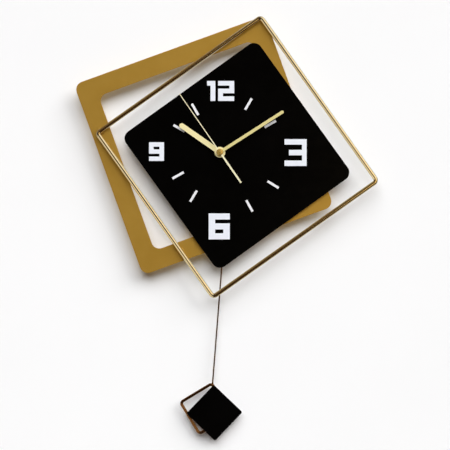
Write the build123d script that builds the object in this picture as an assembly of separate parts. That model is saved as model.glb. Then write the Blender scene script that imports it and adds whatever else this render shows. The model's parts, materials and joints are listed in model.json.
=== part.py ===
from build123d import *
from math import cos, hypot, radians, sin
import os

# Pendulum wall clock. Millimetres. +Z is up, +X is the viewer's right, and the wall is the plane
# y = 0 with the whole clock in front of it, towards -Y. The origin is the centre of the hanging
# hole, on the wall. A "depth" is a distance from the wall. Places on the face are (x, z) pairs
# measured from the hand axis, and angles are counter-clockwise as the viewer sees them.

# ---- Fits and clearances
running_clearance = 0.05
seating_clearance = 0.2
arm_side_clearance = 3.4

# ---- Hanger
hanging_hole_radius = 4.0
hole_above_hands = 36.0
hanger_sheet = 1.2
hanger_width = 18.0
hanger_above_hole = 8.5
hanger_over_case = 1.0

# ---- Rear frame: a flat square ring of sheet metal
frame_side = 306.0
frame_bar = 29.0
frame_outer_corner = 12.5
frame_inner_corner = 12.0
frame_sheet = 2.0
frame_tilt = 19.9
frame_centre = (-24.4, 10.7)

# ---- Wire square welded on the rear frame (side and bend are those of the wire's centre line)
wire_square_side = 302.5
wire_diameter = 7.0
wire_bend = 5.5
wire_tilt = 35.3
wire_centre = (25.9, -6.95)
weld_length = 6.0
weld_radius = 1.7
weld_rise = 0.5
weld_start = 2.0

# ---- Dial
dial_side = 250.0
dial_corner = 13.0
dial_thickness = 3.0
dial_tilt = 35.7
dial_centre = (25.6, -4.4)
rubber_washer_thickness = 1.5
rubber_washer_radius = 9.0

# ---- Foam pads between the frame and the dial
pad_thickness = 1.2
pad_length = 30.0
pad_width = 18.0
pads_along_right_bar = (30.0, -90.0)
pads_along_bottom_bar = (70.0, -10.0)

# ---- Numerals and hour sticks, cut from thin sheet and stuck on the dial. A lag is the angle
# by which a stick is stuck clockwise of its hour.
marking_thickness = 1.0
numeral_one = dict(left=-19.3, bottom=77.4, width=12.5, height=30.2, stroke=7.0, stem=7.4)
numeral_two = dict(left=-2.7, bottom=77.4, width=24.3, height=30.2, stroke=7.0, stem=7.3)
numeral_three = dict(left=97.3, bottom=-20.5, width=33.3, height=40.4, stroke=8.3, stem=7.0)
numeral_six = dict(left=-16.9, bottom=-131.0, width=31.8, height=39.1, stroke=9.2, stem=9.7)
numeral_nine = dict(left=-106.7, bottom=-12.9, width=22.6, height=28.2, stroke=6.7, stem=6.9)
three_middle_inset = 6.7
stick_length = 19.6
stick_width = 3.6
stick_hours = [hour for hour in range(12) if hour % 3]
stick_distances = (84.5, 87.0, 93.6, 92.0, 77.0, 71.9, 71.4, 74.7)
stick_lags = (0.6, 0.6, 1.2, 1.1, 1.1, 1.2, 0.6, 0.0)

# ---- Hands. Clock angles run clockwise from twelve.
hand_sheet = 0.5
hand_spacing = 2.0
hour_hand_length = 73.5
hour_hand_width = 7.8
hour_hand_boss = 8.1
hour_hand_clock_angle = 304.8
minute_hand_length = 113.7
minute_hand_width = 4.6
minute_hand_boss = 5.0
minute_hand_clock_angle = 57.3
second_hand_length = 106.5
second_hand_tail = 56.0
second_hand_width = 1.3
second_hand_tail_width = 2.7
second_cap_radius = 5.2
second_cap_rise = 1.4
second_cap_round = 1.0
second_hand_clock_angle = 325.3
hour_collet_radius = 3.6
hour_collet_length = 1.2
minute_collet_radius = 4.3
minute_collet_length = 0.8

# ---- Movement case
case_side = 56.0
case_depth = 18.0
case_wall = 1.2
case_corner = 3.0
cover_thickness = 1.2
battery_bay_height = 15.6
gear_plate_depth = 5.6
gear_plate_thickness = 1.0
pillar_radius = 1.6
pillar_inset = 1.9

# ---- Bush, nut and washer that clamp the case and hanger to the dial
bush_radius = 4.0
bush_beyond_nut = 0.8
nut_across_flats = 11.0
nut_thickness = 2.2
nut_washer_radius = 6.5
nut_washer_thickness = 0.5

# ---- Arbors and pipes on the hand axis
second_arbor_radius = 0.45
minute_pipe_radius = 1.25
hour_pipe_radius = 2.5
small_arbor_radius = 0.4
pivot_post_radius = 1.2
pivot_hole_depth = 1.7
motion_post_radius = 1.0

# ---- Wheel train. The wheels lie in planes one step apart, the fifth wheel nearest the wall.
train_start_depth = 7.4
wheel_thickness = 0.8
wheel_step = 1.6
wheel_hub_radius = 1.5
rotor_pinion_teeth = 8
fifth_wheel_teeth = 60
fifth_pinion_teeth = 15
second_wheel_teeth = 60
second_pinion_teeth = 8
third_wheel_teeth = 60
third_pinion_teeth = 8
centre_wheel_teeth = 64
cannon_teeth = 12
motion_wheel_teeth = 36
motion_pinion_teeth = 10
hour_wheel_teeth = 40
knob_gear_teeth = 12
rotor_module = 0.26
fifth_module = 0.30
centre_module = 0.30
motion_module = 0.40
fifth_direction = 90.0
rotor_direction = 25.0
third_direction = 150.0
motion_direction = 20.0
tooth_addendum = 0.75
tooth_dedendum = 1.10
tooth_tip_share = 0.18
tooth_root_share = 0.52

# ---- Stepping motor
magnet_radius = 2.8
magnet_length = 2.2
magnet_depth = 10.4
stator_sheet = 1.0
stator_depth = 11.0
stator_hole_radius = 3.4
stator_left = 2.0
stator_right = 22.0
stator_bottom = 10.2
stator_top = 18.7
stator_leg = 2.6
core_height = 3.0
coil_radius = 3.4
coil_core_radius = 2.1
bobbin_flange = 0.6
bobbin_flange_radius = 3.8
coil_axis_height = 22.8

# ---- Circuit board and what is on it
board_thickness = 0.8
board_corner = (-22.4, 9.8)
board_width = 18.0
board_height = 16.2
chip_radius = 2.6
chip_height = 0.7
crystal_radius = 1.0
crystal_length = 6.0

# ---- Setting knob
knob_radius = 5.0
knob_thickness = 2.0
knob_back_depth = 0.4
knob_ribs = 24
knob_rib_depth = 0.35
knob_shaft_radius = 1.2
knob_pivot_radius = 0.8
knob_hole_clearance = 0.4

# ---- Battery, the same cell in the movement and in the pendulum drive
cell_radius = 7.0
cell_length = 49.0
cell_nub_radius = 2.75
cell_nub_length = 1.3
cell_axis_depth = 8.0
contact_sheet = 0.4
contact_width = 9.0
contact_spring_radius = 3.5
contact_spring_wire = 0.5

# ---- Pendulum drive: its case hangs under the movement on a foam pad behind the dial
drive_width = 56.0
drive_height = 50.0
drive_below_case = 1.5
pivot_place = (12.3, -52.0)
drive_pad_width = 40.0
drive_pad_height = 26.0
pivot_pin_radius = 0.8
pivot_boss_radius = 2.4
drive_board_thickness = 0.8
drive_board_width = 34.0
drive_board_height = 20.0
drive_board_margin = 1.0
drive_coil_radius = 7.0
drive_coil_hole = 2.2
drive_coil_thickness = 2.4
magnet_gap = 0.6
arm_magnet_radius = 4.0
arm_magnet_thickness = 1.5
magnet_below_pivot = 17.0
arm_sheet = 1.5
arm_width = 6.0
arm_hub_radius = 3.8
arm_hub_length = 3.0
hook_below_pivot = 31.0
hook_pin_radius = 1.0
hook_head_radius = 1.9
hook_head_thickness = 0.7

# ---- Pendulum, drawn hanging plumb from its pivot and then swung aside to where it is stored
stored_swing = 4.5
rod_radius = 1.1
rod_length = 300.0
bob_wire_side = 55.5
bob_wire_diameter = 4.5
bob_wire_bend = 4.8
bob_wire_tilt = 35.6
bob_wire_from_rod_end = (-7.5, -37.3)
bob_plate_side = 60.0
bob_plate_thickness = 3.0
bob_plate_corner = 2.5
bob_plate_tilt = 50.8
bob_plate_from_rod_end = (6.2, -42.0)

# ---- Depths that follow from the sizes above
case_inside_depth = case_depth - case_wall
dial_back_depth = case_depth + hanger_sheet + rubber_washer_thickness
dial_front_depth = dial_back_depth + dial_thickness
frame_front_depth = dial_back_depth - pad_thickness
frame_back_depth = frame_front_depth - frame_sheet
wire_depth = frame_front_depth + wire_diameter / 2
nut_back_depth = dial_front_depth + nut_washer_thickness
bush_front_depth = nut_back_depth + nut_thickness + bush_beyond_nut
hour_hand_depth = bush_front_depth + hour_collet_length + hand_spacing / 2
minute_hand_depth = hour_hand_depth + hand_spacing
second_hand_depth = minute_hand_depth + hand_spacing
hour_pipe_front = hour_hand_depth + hand_sheet
minute_pipe_front = minute_hand_depth + hand_sheet + minute_collet_length
second_arbor_front = second_hand_depth + hand_sheet
wheel_depths = [train_start_depth + step * wheel_step for step in range(6)]
fifth_depth, second_depth, third_depth, centre_depth, motion_depth, hour_depth = wheel_depths
post_end_depth = motion_depth - wheel_thickness / 2
drive_coil_depth = cover_thickness + drive_board_thickness
arm_magnet_depth = drive_coil_depth + drive_coil_thickness + magnet_gap
arm_depth = arm_magnet_depth + arm_magnet_thickness
rod_depth = arm_depth + arm_sheet + rod_radius
bob_plate_depth = rod_depth + bob_wire_diameter / 2

# ---- Edges of the two cases, from the hand axis
gear_bay_floor = -case_side / 2 + case_wall * 2 + battery_bay_height
drive_top = -case_side / 2 - drive_below_case
drive_bottom = drive_top - drive_height
drive_bay_ceiling = drive_top - case_wall * 2 - battery_bay_height

towards_viewer = (0, -1, 0)


def front(depth):
    """The plane at a depth, drawn on in X and Z from the hand axis, facing the viewer."""
    return Plane(origin=(0, -depth, -hole_above_hands), x_dir=(1, 0, 0), z_dir=(0, -1, 0))


def slab(sketch, depth, thickness):
    """A sketch thickened from its depth towards the viewer."""
    return extrude(front(depth) * sketch, amount=thickness, dir=towards_viewer)


def disc(place, radius, depth_from, depth_to):
    return slab(Pos(*place) * Circle(radius), depth_from, depth_to - depth_from)


def block(left, right, bottom, top, depth_from, depth_to):
    middle = Pos((left + right) / 2, (bottom + top) / 2)
    return slab(middle * Rectangle(right - left, top - bottom), depth_from, depth_to - depth_from)


def polar(distance, angle, start=(0.0, 0.0)):
    return (start[0] + distance * cos(radians(angle)), start[1] + distance * sin(radians(angle)))


def wire_ring(place, side, bend, radius):
    """Round wire bent into a closed square; place is the plane in which its centre line lies."""
    path = (place * RectangleRounded(side, side, bend)).wire()
    start = Plane(origin=path @ 0, z_dir=path % 0)
    return sweep(start * Circle(radius), path=path)


# ---- Gears

def gear_outline(teeth, module_size, tooth_angle):
    """Straight-sided teeth; tooth_angle is the direction of the middle of one tooth."""
    pitch_radius = module_size * teeth / 2
    root_radius = pitch_radius - tooth_dedendum * module_size
    tip_radius = pitch_radius + tooth_addendum * module_size
    pitch = 360 / teeth
    corners = []
    for tooth in range(teeth):
        middle = tooth_angle + tooth * pitch
        for radius, share in ((root_radius, -tooth_root_share), (tip_radius, -tooth_tip_share),
                              (tip_radius, tooth_tip_share), (root_radius, tooth_root_share)):
            corners.append(polar(radius, middle + share * pitch / 2))
    return Polygon(*corners, align=None)


def gear(place, teeth, module_size, tooth_angle, depth):
    return slab(Pos(*place) * gear_outline(teeth, module_size, tooth_angle), depth, wheel_thickness)


def meshing_angle(tooth_angle, teeth, other_teeth, direction):
    """Tooth direction of the other gear, which lies in `direction` and meshes with this one."""
    turned = (tooth_angle - direction) * teeth / other_teeth
    return direction + 180 + 180 / other_teeth - turned


def centre_distance(module_size, teeth, other_teeth):
    return module_size * (teeth + other_teeth) / 2


hand_axis = (0.0, 0.0)
fifth_axis = polar(centre_distance(fifth_module, second_wheel_teeth, fifth_pinion_teeth),
                   fifth_direction)
rotor_axis = polar(centre_distance(rotor_module, fifth_wheel_teeth, rotor_pinion_teeth),
                   rotor_direction, fifth_axis)
third_distance = centre_distance(centre_module, third_pinion_teeth, centre_wheel_teeth)
third_axis = polar(third_distance, third_direction)
third_module = 2 * third_distance / (second_pinion_teeth + third_wheel_teeth)
motion_distance = centre_distance(motion_module, cannon_teeth, motion_wheel_teeth)
motion_axis = polar(motion_distance, motion_direction)
hour_module = 2 * motion_distance / (motion_pinion_teeth + hour_wheel_teeth)
knob_axis = polar(centre_distance(motion_module, motion_wheel_teeth, knob_gear_teeth),
                  motion_direction, motion_axis)
motion_tooth_angle = meshing_angle(0, cannon_teeth, motion_wheel_teeth, motion_direction)
arbor_hole = small_arbor_radius + running_clearance


def small_arbor(place):
    """A wheel's arbor, from the gear plate to the bottom of its post in the case."""
    return disc(place, small_arbor_radius, gear_plate_depth, post_end_depth + pivot_hole_depth
                - running_clearance)


def make_rotor_pinion():
    angle = meshing_angle(0, fifth_wheel_teeth, rotor_pinion_teeth, rotor_direction)
    pinion = gear(rotor_axis, rotor_pinion_teeth, rotor_module, angle, fifth_depth)
    return pinion + small_arbor(rotor_axis)


def make_rotor_magnet():
    ring = Circle(magnet_radius) - Circle(small_arbor_radius)
    return slab(Pos(*rotor_axis) * ring, magnet_depth, magnet_length)


def make_fifth_wheel():
    angle = meshing_angle(0, second_wheel_teeth, fifth_pinion_teeth, fifth_direction)
    wheel = gear(fifth_axis, fifth_wheel_teeth, rotor_module, 0, fifth_depth)
    pinion = gear(fifth_axis, fifth_pinion_teeth, fifth_module, angle, second_depth)
    hub = disc(fifth_axis, wheel_hub_radius, fifth_depth, second_depth)
    return wheel + pinion + hub + small_arbor(fifth_axis)


def make_second_wheel():
    wheel = gear(hand_axis, second_wheel_teeth, fifth_module, 0, second_depth)
    pinion = gear(hand_axis, second_pinion_teeth, third_module, 0, third_depth)
    hub = disc(hand_axis, second_pinion_teeth * third_module / 3, second_depth, third_depth)
    bore = disc(hand_axis, second_arbor_radius, second_depth, centre_depth)
    return wheel + pinion + hub - bore


def make_second_arbor():
    return disc(hand_axis, second_arbor_radius, gear_plate_depth, second_arbor_front)


def make_third_wheel():
    angle = meshing_angle(0, second_pinion_teeth, third_wheel_teeth, third_direction)
    wheel = gear(third_axis, third_wheel_teeth, third_module, angle, third_depth)
    pinion = gear(third_axis, third_pinion_teeth, centre_module, 0, centre_depth)
    hub = disc(third_axis, third_pinion_teeth * centre_module / 3, third_depth, centre_depth)
    return wheel + pinion + hub + small_arbor(third_axis)


def make_centre_wheel():
    angle = meshing_angle(0, third_pinion_teeth, centre_wheel_teeth, third_direction + 180)
    wheel = gear(hand_axis, centre_wheel_teeth, centre_module, angle, centre_depth)
    bore = minute_pipe_radius + running_clearance
    return wheel - disc(hand_axis, bore, centre_depth, centre_depth + wheel_thickness)


def make_minute_pipe():
    back = centre_depth - wheel_thickness / 2
    pipe = disc(hand_axis, minute_pipe_radius, back, minute_pipe_front)
    cannon = gear(hand_axis, cannon_teeth, motion_module, 0, motion_depth)
    bore = disc(hand_axis, second_arbor_radius + running_clearance, back, minute_pipe_front)
    return pipe + cannon - bore


def make_motion_wheel():
    wheel = gear(motion_axis, motion_wheel_teeth, motion_module, motion_tooth_angle, motion_depth)
    pinion = gear(motion_axis, motion_pinion_teeth, hour_module, 0, hour_depth)
    hub = disc(motion_axis, wheel_hub_radius, motion_depth, hour_depth)
    bore = disc(motion_axis, motion_post_radius + running_clearance, motion_depth,
                hour_depth + wheel_thickness)
    return wheel + pinion + hub - bore


def make_hour_wheel():
    angle = meshing_angle(0, motion_pinion_teeth, hour_wheel_teeth, motion_direction + 180)
    wheel = gear(hand_axis, hour_wheel_teeth, hour_module, angle, hour_depth)
    pipe = disc(hand_axis, hour_pipe_radius, hour_depth, hour_pipe_front)
    bore = disc(hand_axis, minute_pipe_radius + running_clearance, hour_depth, hour_pipe_front)
    return wheel + pipe - bore


def make_setting_knob():
    angle = meshing_angle(motion_tooth_angle, motion_wheel_teeth, knob_gear_teeth,
                          motion_direction)
    pinion = gear(knob_axis, knob_gear_teeth, motion_module, angle, motion_depth)
    ribs = [polar(knob_radius - knob_rib_depth * (corner % 2), corner * 180 / knob_ribs)
            for corner in range(2 * knob_ribs)]
    head = slab(Pos(*knob_axis) * Polygon(*ribs, align=None), knob_back_depth, knob_thickness)
    shaft = disc(knob_axis, knob_shaft_radius, knob_back_depth, motion_depth + wheel_thickness)
    pivot = disc(knob_axis, knob_pivot_radius, motion_depth,
                 case_inside_depth - running_clearance)
    return head + shaft + pinion + pivot


# ---- Movement: case, plate, motor and battery

def pillar_places():
    side = case_side / 2 - case_wall - pillar_inset
    low = gear_bay_floor + pillar_inset
    return [(-side, side), (side, side), (-side, low), (side, low)]


def make_movement_case():
    half = case_side / 2 - case_wall
    case = slab(RectangleRounded(case_side, case_side, case_corner), 0, case_depth)
    case -= block(-half, half, gear_bay_floor, half, 0, case_inside_depth)
    case -= block(-half, half, -half, battery_bay_height - half, 0, case_inside_depth)
    for place in pillar_places():
        case += disc(place, pillar_radius, gear_plate_depth + gear_plate_thickness, case_depth)
    for place in (fifth_axis, rotor_axis, third_axis):
        case += disc(place, pivot_post_radius, post_end_depth, case_depth)
        case -= disc(place, arbor_hole, post_end_depth, post_end_depth + pivot_hole_depth)
    case += disc(motion_axis, motion_post_radius, post_end_depth, case_depth)
    knob_post_end = motion_depth + wheel_thickness + seating_clearance
    case += disc(knob_axis, pivot_post_radius + knob_pivot_radius / 2, knob_post_end, case_depth)
    case -= disc(knob_axis, knob_pivot_radius + running_clearance, knob_post_end,
                 case_inside_depth)
    for place in stator_supports():
        case += disc(place, pivot_post_radius, stator_depth + stator_sheet, case_depth)
    case -= disc(hand_axis, bush_radius, case_inside_depth, case_depth)
    return case


def make_movement_cover():
    half = case_side / 2 - case_wall - seating_clearance
    low = gear_bay_floor + seating_clearance
    cover = block(-half, half, low, half, 0, cover_thickness)
    for place in pillar_places():
        cover += disc(place, pillar_radius - seating_clearance, 0, gear_plate_depth)
    return cover - disc(knob_axis, knob_radius + knob_hole_clearance, 0, cover_thickness)


def make_gear_plate():
    half = case_side / 2 - case_wall - seating_clearance
    low = gear_bay_floor + seating_clearance
    back = gear_plate_depth
    face = gear_plate_depth + gear_plate_thickness
    plate = block(-half, half, low, half, back, face)
    for place in (fifth_axis, rotor_axis, third_axis):
        plate -= disc(place, arbor_hole, back, face)
    plate -= disc(hand_axis, second_arbor_radius + running_clearance, back, face)
    return plate - disc(knob_axis, knob_shaft_radius + running_clearance, back, face)


def stator_supports():
    low = stator_bottom + stator_leg / 2
    return [(stator_left + stator_leg / 2, stator_top - stator_leg),
            (stator_right - stator_leg / 2, low)]


def make_stator():
    top = coil_axis_height + core_height / 2
    front_face = stator_depth + stator_sheet
    plate = block(stator_left, stator_right, stator_bottom, stator_top, stator_depth, front_face)
    plate += block(stator_left, stator_left + stator_leg, stator_bottom, top, stator_depth,
                   front_face)
    plate += block(stator_right - stator_leg, stator_right, stator_bottom, top, stator_depth,
                   front_face)
    plate += block(stator_left, stator_right, top - core_height, top, stator_depth, front_face)
    return plate - disc(rotor_axis, stator_hole_radius, stator_depth, front_face)


def along_x(radius, left, right, height, depth):
    """A cylinder that lies along X."""
    middle = front(depth) * Pos((left + right) / 2, height, 0) * Rot(0, 90, 0)
    return middle * Cylinder(radius, right - left)


def coil_ends():
    left = stator_left + stator_leg + seating_clearance
    right = stator_right - stator_leg - seating_clearance
    return left, right


def core_slot():
    left, right = coil_ends()
    low = coil_axis_height - core_height / 2
    return block(left, right, low, low + core_height, stator_depth, stator_depth + stator_sheet)


def make_coil_bobbin():
    left, right = coil_ends()
    depth = stator_depth + stator_sheet / 2
    bobbin = along_x(coil_core_radius, left, right, coil_axis_height, depth)
    bobbin += along_x(bobbin_flange_radius, left, left + bobbin_flange, coil_axis_height, depth)
    bobbin += along_x(bobbin_flange_radius, right - bobbin_flange, right, coil_axis_height, depth)
    return bobbin - core_slot()


def make_coil_winding():
    left, right = coil_ends()
    depth = stator_depth + stator_sheet / 2
    ends = (left + bobbin_flange, right - bobbin_flange, coil_axis_height, depth)
    return along_x(coil_radius, *ends) - along_x(coil_core_radius, *ends)


def make_circuit_board():
    left, bottom = board_corner
    return block(left, left + board_width, bottom, bottom + board_height,
                 case_inside_depth - board_thickness, case_inside_depth)


def make_chip_cap():
    place = (board_corner[0] + board_width / 2, board_corner[1] + board_height / 3)
    board_back = case_inside_depth - board_thickness
    return disc(place, chip_radius, board_back - chip_height, board_back)


def make_quartz_crystal():
    left = board_corner[0] + board_width / 4
    height = board_corner[1] + board_height * 3 / 4
    depth = case_inside_depth - board_thickness - crystal_radius
    return along_x(crystal_radius, left, left + crystal_length, height, depth)


def battery_ends(middle, width):
    """Where the cell starts and stops: its nub touches the right-hand contact."""
    right = middle + width / 2 - case_wall - contact_sheet
    return right - cell_nub_length - cell_length, right


def make_battery(middle, height, width):
    left, right = battery_ends(middle, width)
    body = along_x(cell_radius, left, right - cell_nub_length, height, cell_axis_depth)
    return body + along_x(cell_nub_radius, left, right, height, cell_axis_depth)


def make_battery_contacts(middle, height, width):
    left, right = battery_ends(middle, width)
    wall = middle - width / 2 + case_wall
    low = height - contact_width / 2
    high = height + contact_width / 2
    depths = (cell_axis_depth - contact_width / 2, cell_axis_depth + contact_width / 2)
    plus = block(right, right + contact_sheet, low, high, *depths)
    minus = block(wall, wall + contact_sheet, low, high, *depths)
    spring = along_x(contact_spring_radius, wall + contact_sheet, left, height, cell_axis_depth)
    spring -= along_x(contact_spring_radius - contact_spring_wire, wall + contact_sheet, left,
                      height, cell_axis_depth)
    return Compound(children=[plus.solid(), (minus + spring).solid()])


# ---- Bush, nut, washers and hanger

def ring(outer, inner, depth, thickness):
    return slab(Circle(outer) - Circle(inner), depth, thickness)


def make_centre_bush():
    bore = hour_pipe_radius + running_clearance
    return ring(bush_radius, bore, case_inside_depth, bush_front_depth - case_inside_depth)


def make_hex_nut():
    hexagon = RegularPolygon(nut_across_flats / 2, 6, major_radius=False) - Circle(bush_radius)
    return slab(hexagon, nut_back_depth, nut_thickness)


def make_hanger_bracket():
    """A strip bent twice: up the front of the case, back over its top, and up the wall."""
    half = hanger_width / 2
    shelf = case_side / 2 + hanger_over_case
    front_leg = block(-half, half, 0, shelf + hanger_sheet, case_depth, case_depth + hanger_sheet)
    front_leg += disc(hand_axis, half, case_depth, case_depth + hanger_sheet)
    front_leg -= disc(hand_axis, bush_radius, case_depth, case_depth + hanger_sheet)
    top = block(-half, half, shelf, shelf + hanger_sheet, 0, case_depth + hanger_sheet)
    tip = hole_above_hands + hanger_above_hole
    rear_leg = block(-half, half, shelf, tip - half, 0, hanger_sheet)
    rear_leg += disc((0, tip - half), half, 0, hanger_sheet) & block(-half, half, shelf, tip, 0,
                                                                     hanger_sheet)
    strip = front_leg + top + rear_leg
    return strip - disc((0, hole_above_hands), hanging_hole_radius, 0, hanger_sheet)


# ---- Frame, wire square, dial and markings

def make_rear_frame():
    opening = frame_side - 2 * frame_bar
    outline = RectangleRounded(frame_side, frame_side, frame_outer_corner)
    outline -= RectangleRounded(opening, opening, frame_inner_corner)
    return slab(Pos(*frame_centre) * Rot(0, 0, frame_tilt) * outline, frame_back_depth, frame_sheet)


def make_wire_square():
    place = front(wire_depth) * Pos(*wire_centre) * Rot(0, 0, wire_tilt)
    return wire_ring(place, wire_square_side, wire_bend, wire_diameter / 2)


def side_line(centre, tilt, offset, quarter):
    """A point and a direction on the line at `offset` from a square's centre, on one side."""
    angle = tilt + 90 * quarter
    return polar(offset, angle, centre), angle + 90


def crossings():
    """Where the wire's four sides cross the middles of the frame's four bars."""
    found = []
    bar_offset = (frame_side - frame_bar) / 2
    for wire_quarter in range(4):
        (wx, wz), wire_angle = side_line(wire_centre, wire_tilt, wire_square_side / 2, wire_quarter)
        for bar_quarter in range(4):
            (bx, bz), bar_angle = side_line(frame_centre, frame_tilt, bar_offset, bar_quarter)
            slant = sin(radians(bar_angle - wire_angle))
            if abs(slant) < 0.1:
                continue
            along = (bx - wx) * sin(radians(bar_angle)) - (bz - wz) * cos(radians(bar_angle))
            along /= slant
            place = polar(along, wire_angle, (wx, wz))
            beyond = hypot(place[0] - bx, place[1] - bz)
            if abs(along) < wire_square_side / 2 - wire_bend and beyond < bar_offset:
                found.append((place, wire_angle))
    return found


def make_weld_beads():
    """A bead on each side of the wire, in the groove that it makes with the frame."""
    wire = make_wire_square()
    beads = []
    for place, angle in crossings():
        for side in (-1, 1):
            lies = front(frame_front_depth) * Pos(*place) * Rot(0, 0, angle)
            bead = lies * Pos(0, side * wire_diameter / 2, weld_rise) * Rot(0, 90, 0)
            bead *= Cylinder(weld_radius, weld_length)
            outer = weld_start + weld_radius * 2
            groove = lies * Pos(0, side * (weld_start + outer) / 2, weld_radius * 2)
            groove *= Box(weld_length * 2, outer - weld_start, weld_radius * 4)
            beads.append(((bead & groove) - wire).solid())
    return Compound(children=beads)


def make_dial_pads():
    bar_offset = (frame_side - frame_bar) / 2
    pads = []
    for quarter, places in ((0, pads_along_right_bar), (3, pads_along_bottom_bar)):
        middle, angle = side_line(frame_centre, frame_tilt, bar_offset, quarter)
        for along in places:
            pad = Pos(*polar(along, angle, middle)) * Rot(0, 0, angle)
            pads.append(slab(pad * Rectangle(pad_length, pad_width), frame_front_depth,
                             pad_thickness).solid())
    return Compound(children=pads)


def make_dial_panel():
    outline = Pos(*dial_centre) * Rot(0, 0, dial_tilt) * RectangleRounded(dial_side, dial_side,
                                                                          dial_corner)
    return slab(outline - Circle(bush_radius), dial_back_depth, dial_thickness)


def rectangle(left, right, bottom, top):
    return Pos((left + right) / 2, (bottom + top) / 2) * Rectangle(right - left, top - bottom)


def block_digit(size, upper, lower, middle_inset=0.0):
    """A square numeral: three bars with an upper and a lower gap, each open or closed."""
    width, height, stroke, stem = (size[name] for name in ("width", "height", "stroke", "stem"))
    gap = (height - 3 * stroke) / 2
    digit = rectangle(0, width, 0, height)
    for kind, bottom in ((lower, stroke), (upper, 2 * stroke + gap)):
        left = 0 if kind == "open left" else stem
        right = width if kind == "open right" else width - stem
        digit -= rectangle(left, right, bottom, bottom + gap)
    if middle_inset:
        digit -= rectangle(0, middle_inset, stroke, height - stroke)
    return marking(Pos(size["left"], size["bottom"]) * digit)


def marking(sketch):
    return slab(sketch, dial_front_depth, marking_thickness)


def digit_one(size):
    width, height, stroke, stem = (size[name] for name in ("width", "height", "stroke", "stem"))
    digit = rectangle(width - stem, width, 0, height) + rectangle(0, width, height - stroke, height)
    return marking(Pos(size["left"], size["bottom"]) * digit)


def make_numeral_twelve():
    two = block_digit(numeral_two, "open left", "open right")
    return Compound(children=[digit_one(numeral_one).solid(), two.solid()])


def make_hour_markers():
    sticks = []
    for hour, distance, lag in zip(stick_hours, stick_distances, stick_lags):
        angle = 90 - 30 * hour - lag
        stick = Pos(*polar(distance, angle)) * Rot(0, 0, angle)
        sticks.append(marking(stick * Rectangle(stick_length, stick_width)).solid())
    return Compound(children=sticks)


# ---- Hands

def straight_hand(length, width, boss, hole, clock_angle):
    """A bar with a round tip and a round boss, drawn upright and turned to its angle."""
    shape = rectangle(-width / 2, width / 2, 0, length - width / 2)
    shape += Pos(0, length - width / 2) * Circle(width / 2)
    shape += Circle(boss)
    return Rot(0, 0, -clock_angle) * (shape - Circle(hole))


def make_hour_hand():
    hand = straight_hand(hour_hand_length, hour_hand_width, hour_hand_boss, hour_pipe_radius,
                         hour_hand_clock_angle)
    return slab(hand, hour_hand_depth, hand_sheet)


def make_minute_hand():
    hand = straight_hand(minute_hand_length, minute_hand_width, minute_hand_boss,
                         minute_pipe_radius, minute_hand_clock_angle)
    return slab(hand, minute_hand_depth, hand_sheet)


def make_hour_collet():
    return ring(hour_collet_radius, hour_pipe_radius, hour_hand_depth - hour_collet_length,
                hour_collet_length)


def make_minute_collet():
    return ring(minute_collet_radius, minute_pipe_radius, minute_hand_depth + hand_sheet,
                minute_collet_length)


def make_second_hand():
    """A thin needle with a wider tail, on a round-edged cap with a blind hole at the back."""
    needle = rectangle(-second_hand_width / 2, second_hand_width / 2, 0, second_hand_length)
    needle += rectangle(-second_hand_tail_width / 2, second_hand_tail_width / 2,
                        -second_hand_tail, 0)
    needle = Rot(0, 0, -second_hand_clock_angle) * needle
    cap_back = second_hand_depth - hand_spacing / 5
    cap = disc(hand_axis, second_cap_radius, cap_back, second_hand_depth + second_cap_rise)
    cap = fillet(cap.edges().sort_by(Axis.Y)[0], second_cap_round)
    hand = slab(needle, second_hand_depth, hand_sheet) + cap
    return hand - disc(hand_axis, second_arbor_radius, cap_back, second_arbor_front)


# ---- Pendulum drive

def drive_edges(margin):
    middle = pivot_place[0]
    return middle - drive_width / 2 + margin, middle + drive_width / 2 - margin


def slot_half_width():
    return arm_width / 2 + arm_side_clearance


def make_drive_case():
    middle = (pivot_place[0], (drive_top + drive_bottom) / 2)
    left, right = drive_edges(case_wall)
    case = slab(Pos(*middle) * RectangleRounded(drive_width, drive_height, case_corner), 0,
                case_depth)
    case -= block(left, right, drive_top - case_wall - battery_bay_height, drive_top - case_wall,
                  0, case_inside_depth)
    case -= block(left, right, drive_bottom + case_wall, drive_bay_ceiling, 0, case_inside_depth)
    half = slot_half_width()
    case -= block(pivot_place[0] - half, pivot_place[0] + half, drive_bottom,
                  drive_bottom + case_wall, arm_depth - 2 * arm_sheet, arm_depth + 4 * arm_sheet)
    boss_end = arm_depth + arm_hub_length + seating_clearance
    case += disc(pivot_place, pivot_boss_radius, boss_end, case_depth)
    return case - disc(pivot_place, pivot_pin_radius, boss_end, case_inside_depth)


def make_drive_cover():
    left, right = drive_edges(case_wall + seating_clearance)
    cover = block(left, right, drive_bottom + case_wall + seating_clearance,
                  drive_bay_ceiling - seating_clearance, 0, cover_thickness)
    cover += disc(pivot_place, pivot_boss_radius, 0, arm_depth - seating_clearance)
    return cover - disc(pivot_place, pivot_pin_radius, cover_thickness / 2,
                        arm_depth - seating_clearance)


def make_pivot_pin():
    return disc(pivot_place, pivot_pin_radius, cover_thickness / 2, case_inside_depth)


def coil_place():
    return (pivot_place[0], pivot_place[1] - magnet_below_pivot)


def make_drive_board():
    x, z = coil_place()
    low = z - drive_coil_radius - drive_board_margin
    return block(x - drive_board_width / 2, x + drive_board_width / 2, low,
                 low + drive_board_height, cover_thickness, drive_coil_depth)


def make_drive_coil():
    outline = Pos(*coil_place()) * (Circle(drive_coil_radius) - Circle(drive_coil_hole))
    return slab(outline, drive_coil_depth, drive_coil_thickness)


def make_drive_pad():
    x = pivot_place[0]
    z = (drive_top + drive_bottom) / 2
    return block(x - drive_pad_width / 2, x + drive_pad_width / 2, z - drive_pad_height / 2,
                 z + drive_pad_height / 2, case_depth, dial_back_depth)


# ---- Pendulum, in places measured from its pivot

rod_end = (0.0, -rod_length)


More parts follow.
